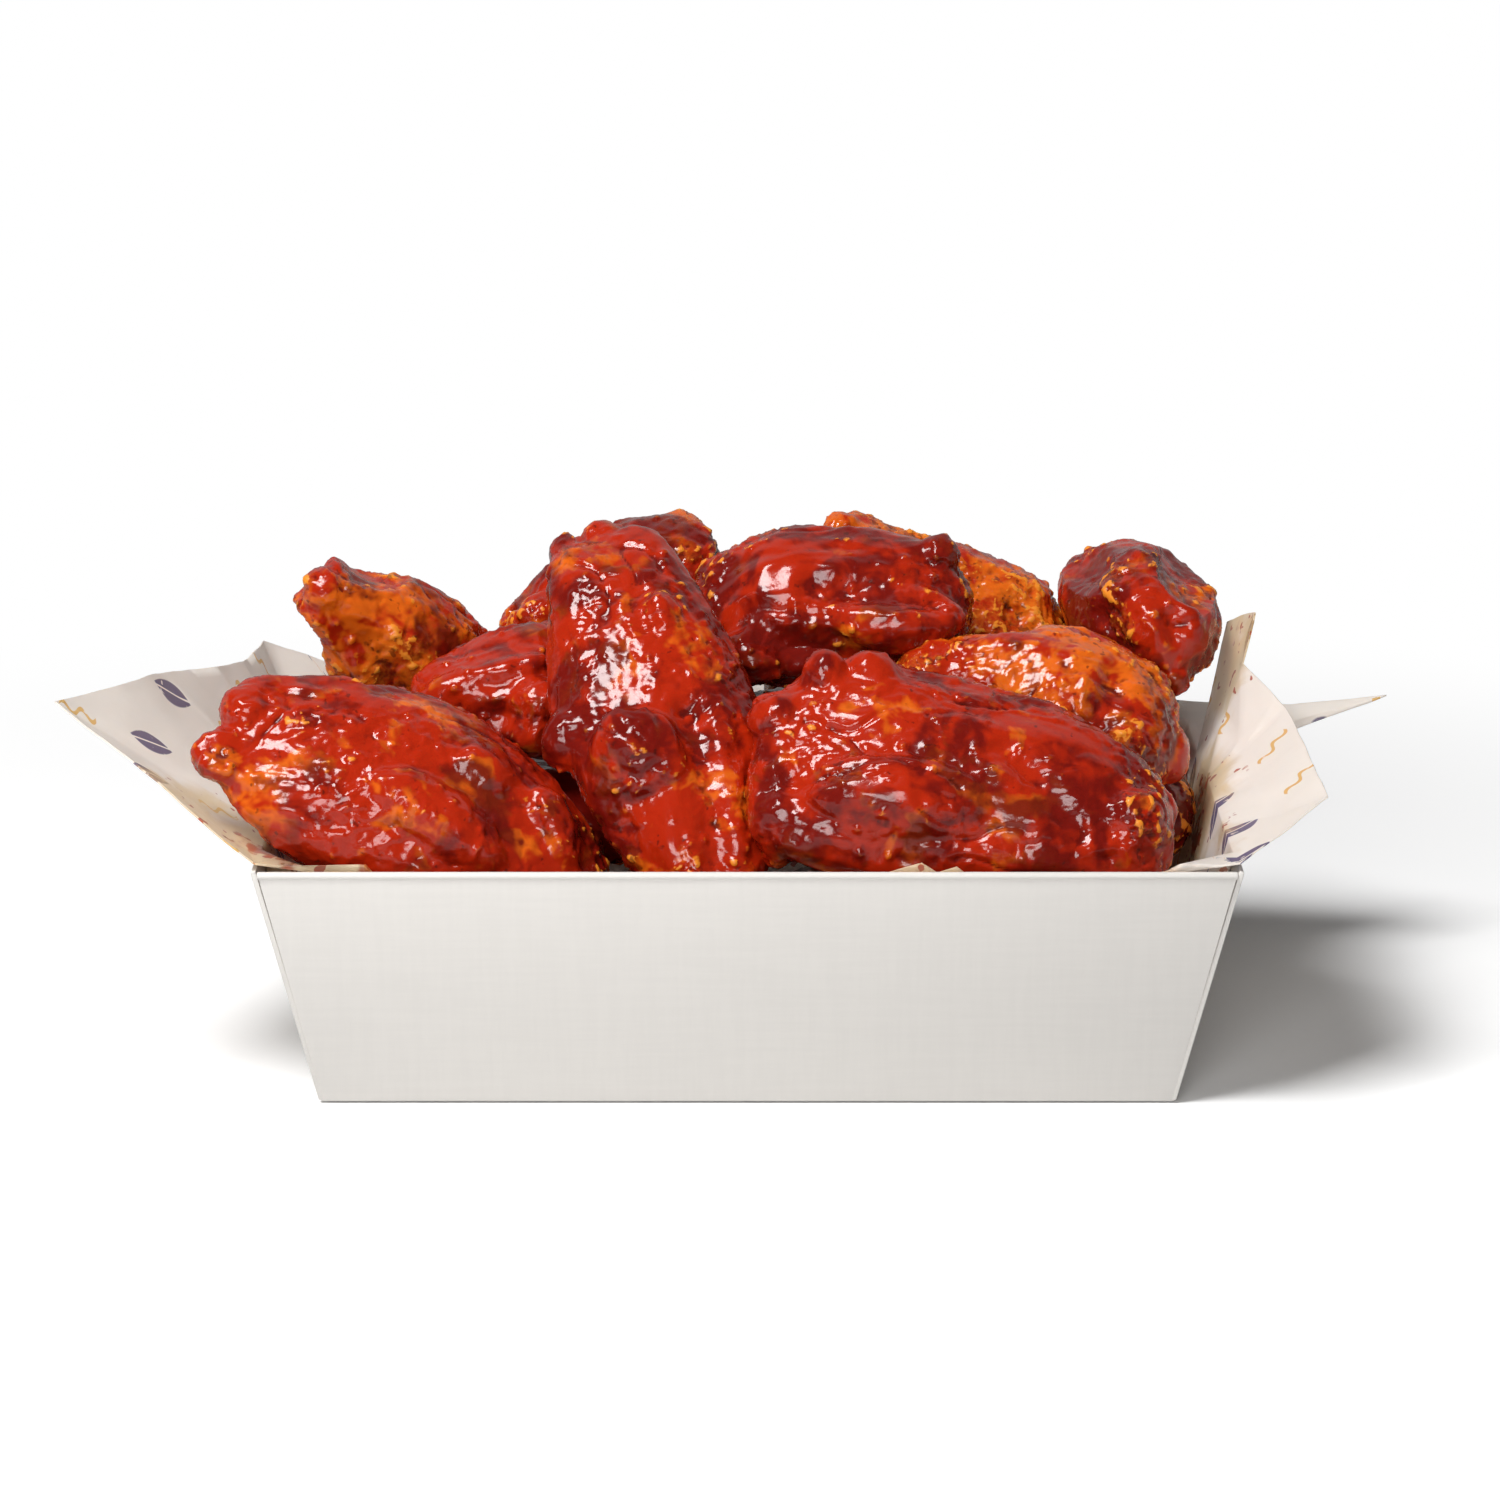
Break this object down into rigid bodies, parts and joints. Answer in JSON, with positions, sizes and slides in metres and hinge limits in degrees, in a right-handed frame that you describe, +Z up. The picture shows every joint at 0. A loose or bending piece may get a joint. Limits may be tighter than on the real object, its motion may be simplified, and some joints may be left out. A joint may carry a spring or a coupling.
{
  "type": "chicken wings serving",
  "caption": "Heap of glossy red-sauced chicken wings in a leaning-sided white card tray lined with a printed greaseproof sheet whose ends stand out over the rim.",
  "frame": {"origin": "centre of the tray's underside, on the surface it stands on", "axes": "+Z up, +X along the tray's length, +Y from the long side that shows to the back"},
  "size_m": [0.2781, 0.1351, 0.1068],
  "materials": {
    "board": "smooth uncoated white folded card",
    "greaseproof": "thin cream greaseproof paper, printed and grease-stained",
    "sauced_wing": "fried crust under wet glossy red-orange sauce"
  },
  "bodies": {
    "root": {"card_tray": "board", "paper_liner": "greaseproof", "wing_front_left": "sauced_wing", "wing_front_right": "sauced_wing", "wing_front_centre": "sauced_wing", "wing_top_centre": "sauced_wing", "wing_right_behind": "sauced_wing", "wing_left_behind": "sauced_wing", "wing_back_left": "sauced_wing", "wing_back_right": "sauced_wing", "wing_top_left": "sauced_wing", "wing_top_back": "sauced_wing", "wing_middle_left": "sauced_wing", "wing_middle_right": "sauced_wing", "wing_middle_back_left": "sauced_wing", "wing_middle_back_right": "sauced_wing", "wing_middle_centre": "sauced_wing", "wing_floor_left": "sauced_wing", "wing_floor_mid_left": "sauced_wing", "wing_floor_mid_right": "sauced_wing", "wing_floor_right": "sauced_wing"}
  },
  "joints": []
}
